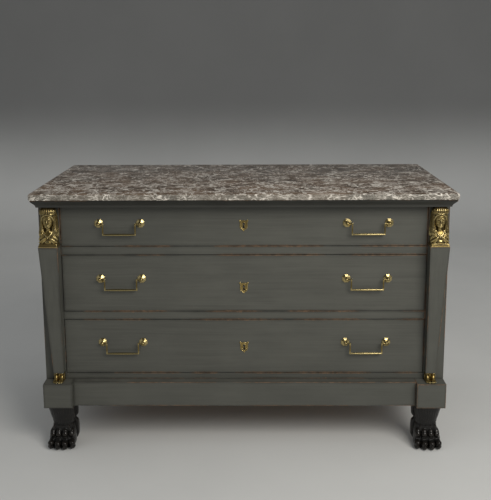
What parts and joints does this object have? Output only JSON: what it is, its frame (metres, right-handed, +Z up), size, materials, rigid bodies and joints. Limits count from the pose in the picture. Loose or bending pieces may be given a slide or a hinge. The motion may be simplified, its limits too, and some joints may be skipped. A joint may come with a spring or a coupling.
{
  "type": "commode chest",
  "caption": "Painted commode chest with flush drawers between tapered bust-headed pilasters, on a plinth with lion paw feet, under a veined marble top.",
  "frame": {"origin": "on the floor under the middle of the marble top", "axes": "+X to the right of a person facing the drawers, +Y from the front to the back, +Z up; the drawers pull out along -Y"},
  "size_m": [1.34, 0.67, 0.856],
  "materials": {
    "marble": "polished brown-grey marble with white veins",
    "grey_paint": "old dark grey paint on wood, eggshell sheen, rubbed at the edges",
    "gilt_brass": "aged gilt brass, bright on the high places and dark in the hollows",
    "black_wood": "carved wood, ebonised and waxed",
    "bare_wood": "unpainted oak, aged",
    "steel": "dull iron lock case"
  },
  "bodies": {
    "chest": {"marble_top": "marble", "cornice": "grey_paint", "top_board": "bare_wood", "side_left": "grey_paint", "side_right": "grey_paint", "back_panel": "bare_wood", "rail_upper": "grey_paint", "rail_lower": "grey_paint", "rail_bottom": "grey_paint", "runner_board_upper": "bare_wood", "runner_board_lower": "bare_wood", "bottom_board": "bare_wood", "plinth_front": "grey_paint", "plinth_side_left": "grey_paint", "plinth_side_right": "grey_paint", "foot_block_left": "grey_paint", "foot_block_right": "grey_paint", "paw_foot_left": "black_wood", "paw_foot_right": "black_wood", "back_foot_left": "black_wood", "back_foot_right": "black_wood", "pilaster_left": "grey_paint", "pilaster_right": "grey_paint", "bust_left": "gilt_brass", "bust_right": "gilt_brass", "gilt_feet_left": "gilt_brass", "gilt_feet_right": "gilt_brass"},
    "drawer_upper": {"drawer_upper_front": "grey_paint", "drawer_upper_box": "bare_wood", "drawer_upper_bottom": "bare_wood", "keyhole_plate_upper": "gilt_brass", "lock_upper": "steel", "post_upper_left_a": "gilt_brass", "post_upper_left_b": "gilt_brass", "post_upper_right_a": "gilt_brass", "post_upper_right_b": "gilt_brass"},
    "drawer_middle": {"drawer_middle_front": "grey_paint", "drawer_middle_box": "bare_wood", "drawer_middle_bottom": "bare_wood", "keyhole_plate_middle": "gilt_brass", "lock_middle": "steel", "post_middle_left_a": "gilt_brass", "post_middle_left_b": "gilt_brass", "post_middle_right_a": "gilt_brass", "post_middle_right_b": "gilt_brass"},
    "drawer_lower": {"drawer_lower_front": "grey_paint", "drawer_lower_box": "bare_wood", "drawer_lower_bottom": "bare_wood", "keyhole_plate_lower": "gilt_brass", "lock_lower": "steel", "post_lower_left_a": "gilt_brass", "post_lower_left_b": "gilt_brass", "post_lower_right_a": "gilt_brass", "post_lower_right_b": "gilt_brass"},
    "bail_upper_left": {"bail_upper_left": "gilt_brass"},
    "bail_upper_right": {"bail_upper_right": "gilt_brass"},
    "bail_middle_left": {"bail_middle_left": "gilt_brass"},
    "bail_middle_right": {"bail_middle_right": "gilt_brass"},
    "bail_lower_left": {"bail_lower_left": "gilt_brass"},
    "bail_lower_right": {"bail_lower_right": "gilt_brass"}
  },
  "joints": [
    {"name": "drawer_upper_slide", "type": "slide", "parent": "chest", "child": "drawer_upper", "axis": [0, -1, 0], "range_m": [0, 0.4]},
    {"name": "bail_upper_left_hinge", "type": "hinge", "parent": "drawer_upper", "child": "bail_upper_left", "pos_m": [-0.396, -0.286, 0.75116], "axis": [-1, 0, 0], "range_deg": [-16, 196]},
    {"name": "bail_upper_right_hinge", "type": "hinge", "parent": "drawer_upper", "child": "bail_upper_right", "pos_m": [0.396, -0.286, 0.75116], "axis": [-1, 0, 0], "range_deg": [-16, 196]},
    {"name": "drawer_middle_slide", "type": "slide", "parent": "chest", "child": "drawer_middle", "axis": [0, -1, 0], "range_m": [0, 0.4]},
    {"name": "bail_middle_left_hinge", "type": "hinge", "parent": "drawer_middle", "child": "bail_middle_left", "pos_m": [-0.396, -0.286, 0.56915], "axis": [-1, 0, 0], "range_deg": [-16, 196]},
    {"name": "bail_middle_right_hinge", "type": "hinge", "parent": "drawer_middle", "child": "bail_middle_right", "pos_m": [0.396, -0.286, 0.56915], "axis": [-1, 0, 0], "range_deg": [-16, 196]},
    {"name": "drawer_lower_slide", "type": "slide", "parent": "chest", "child": "drawer_lower", "axis": [0, -1, 0], "range_m": [0, 0.4]},
    {"name": "bail_lower_left_hinge", "type": "hinge", "parent": "drawer_lower", "child": "bail_lower_left", "pos_m": [-0.396, -0.286, 0.3543], "axis": [-1, 0, 0], "range_deg": [-16, 196]},
    {"name": "bail_lower_right_hinge", "type": "hinge", "parent": "drawer_lower", "child": "bail_lower_right", "pos_m": [0.396, -0.286, 0.3543], "axis": [-1, 0, 0], "range_deg": [-16, 196]}
  ]
}
